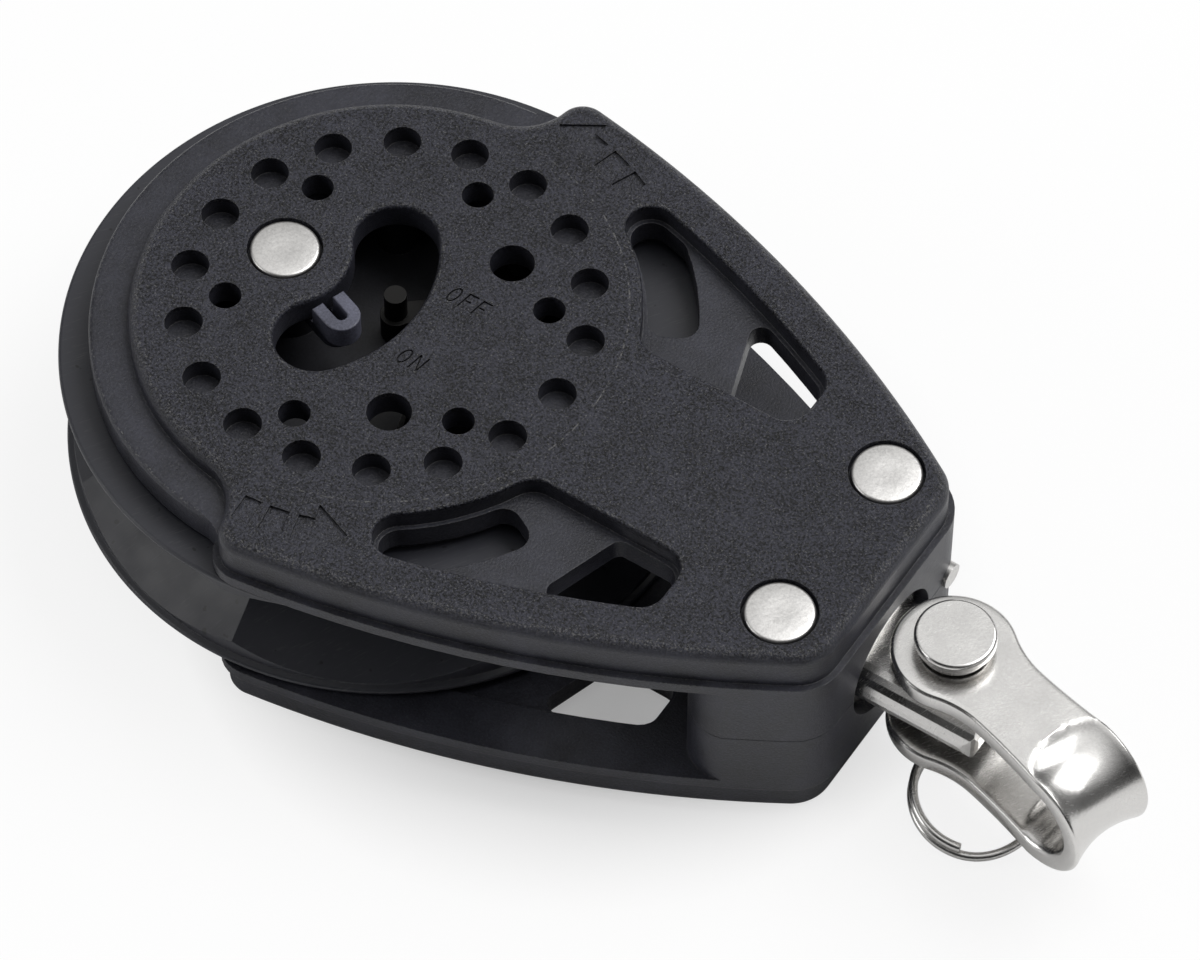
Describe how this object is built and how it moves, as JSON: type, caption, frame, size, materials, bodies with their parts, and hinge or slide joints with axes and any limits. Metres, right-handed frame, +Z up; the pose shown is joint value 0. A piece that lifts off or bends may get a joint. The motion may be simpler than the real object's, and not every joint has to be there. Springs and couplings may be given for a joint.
{
  "type": "single sheave ratchet block",
  "caption": "Single ratchet block: moulded cheeks with windows, faceted sheave on balls, on/off lever on the cheek, and a swivel post with shackle, clevis pin and split ring.",
  "frame": {"origin": "on the sheave's axis, at the lower cheek's outer face, which the block lies on", "axes": "+X from the sheave to the shackle, +Z up along the sheave's axis through the upper cheek, +Y completes the right-handed set"},
  "size_m": [0.1055, 0.057, 0.0232],
  "materials": {
    "cheek_nylon": "fine-grained glass-filled nylon",
    "hub_nylon": "moulded nylon",
    "lever_nylon": "moulded nylon",
    "sheave_alloy": "hard black anodised",
    "steel": "plain stainless",
    "spring_steel": "spring strip",
    "rivet_steel": "satin stainless",
    "polished_steel": "polished stainless",
    "ball_acetal": "smooth acetal",
    "washer_acetal": "smooth acetal"
  },
  "bodies": {
    "frame": {"upper_cheek": "cheek_nylon", "lower_cheek": "cheek_nylon", "hub": "hub_nylon", "pawl_pin": "steel", "spring_post": "steel", "pawl_spring": "spring_steel", "hub_rivet": "rivet_steel", "head_rivets": "rivet_steel", "thrust_washer": "washer_acetal", "lock_screw": "rivet_steel"},
    "sheave": {"sheave": "sheave_alloy", "ratchet_ring": "steel"},
    "balls": {"upper_ball_row": "ball_acetal", "lower_ball_row": "ball_acetal"},
    "switch": {"switch_lever": "lever_nylon"},
    "pawl": {"pawl": "steel"},
    "swivel": {"swivel_post": "polished_steel", "post_nut": "steel", "clevis_pin": "polished_steel"},
    "shackle": {"shackle": "polished_steel"},
    "ring": {"split_ring": "polished_steel"}
  },
  "joints": [
    {"name": "sheave_spin", "type": "hinge", "parent": "frame", "child": "sheave", "pos_m": [0, 0, 0.0116], "axis": [0, 0, 1], "continuous": true},
    {"name": "ball_spin", "type": "hinge", "parent": "frame", "child": "balls", "pos_m": [0, 0, 0.0116], "axis": [0, 0, 1], "continuous": true},
    {"name": "switch_turn", "type": "hinge", "parent": "frame", "child": "switch", "pos_m": [-0.01065, 0, 0.0202], "axis": [0, 0, 1], "range_deg": [0, 40]},
    {"name": "pawl_lift", "type": "hinge", "parent": "frame", "child": "pawl", "pos_m": [0.00661, 0.00937, 0.016], "axis": [0, 0, 1], "range_deg": [0, 9], "deforming": ["pawl_spring"]},
    {"name": "swivel_turn", "type": "hinge", "parent": "frame", "child": "swivel", "pos_m": [0.05, 0, 0.0116], "axis": [1, 0, 0], "continuous": true},
    {"name": "shackle_swing", "type": "hinge", "parent": "swivel", "child": "shackle", "pos_m": [0.0572, 0, 0.0116], "axis": [0, 0, 1], "range_deg": [-75, 105]},
    {"name": "ring_swing", "type": "hinge", "parent": "swivel", "child": "ring", "pos_m": [0.0572, 0, 0.00275], "axis": [0.5, 0.866, 0], "range_deg": [-9, 70]}
  ],
  "couplings": [
    {"joint": "ball_spin", "follows": "sheave_spin", "ratio": 0.556},
    {"joint": "pawl_lift", "follows": "switch_turn", "ratio": 0.225}
  ]
}
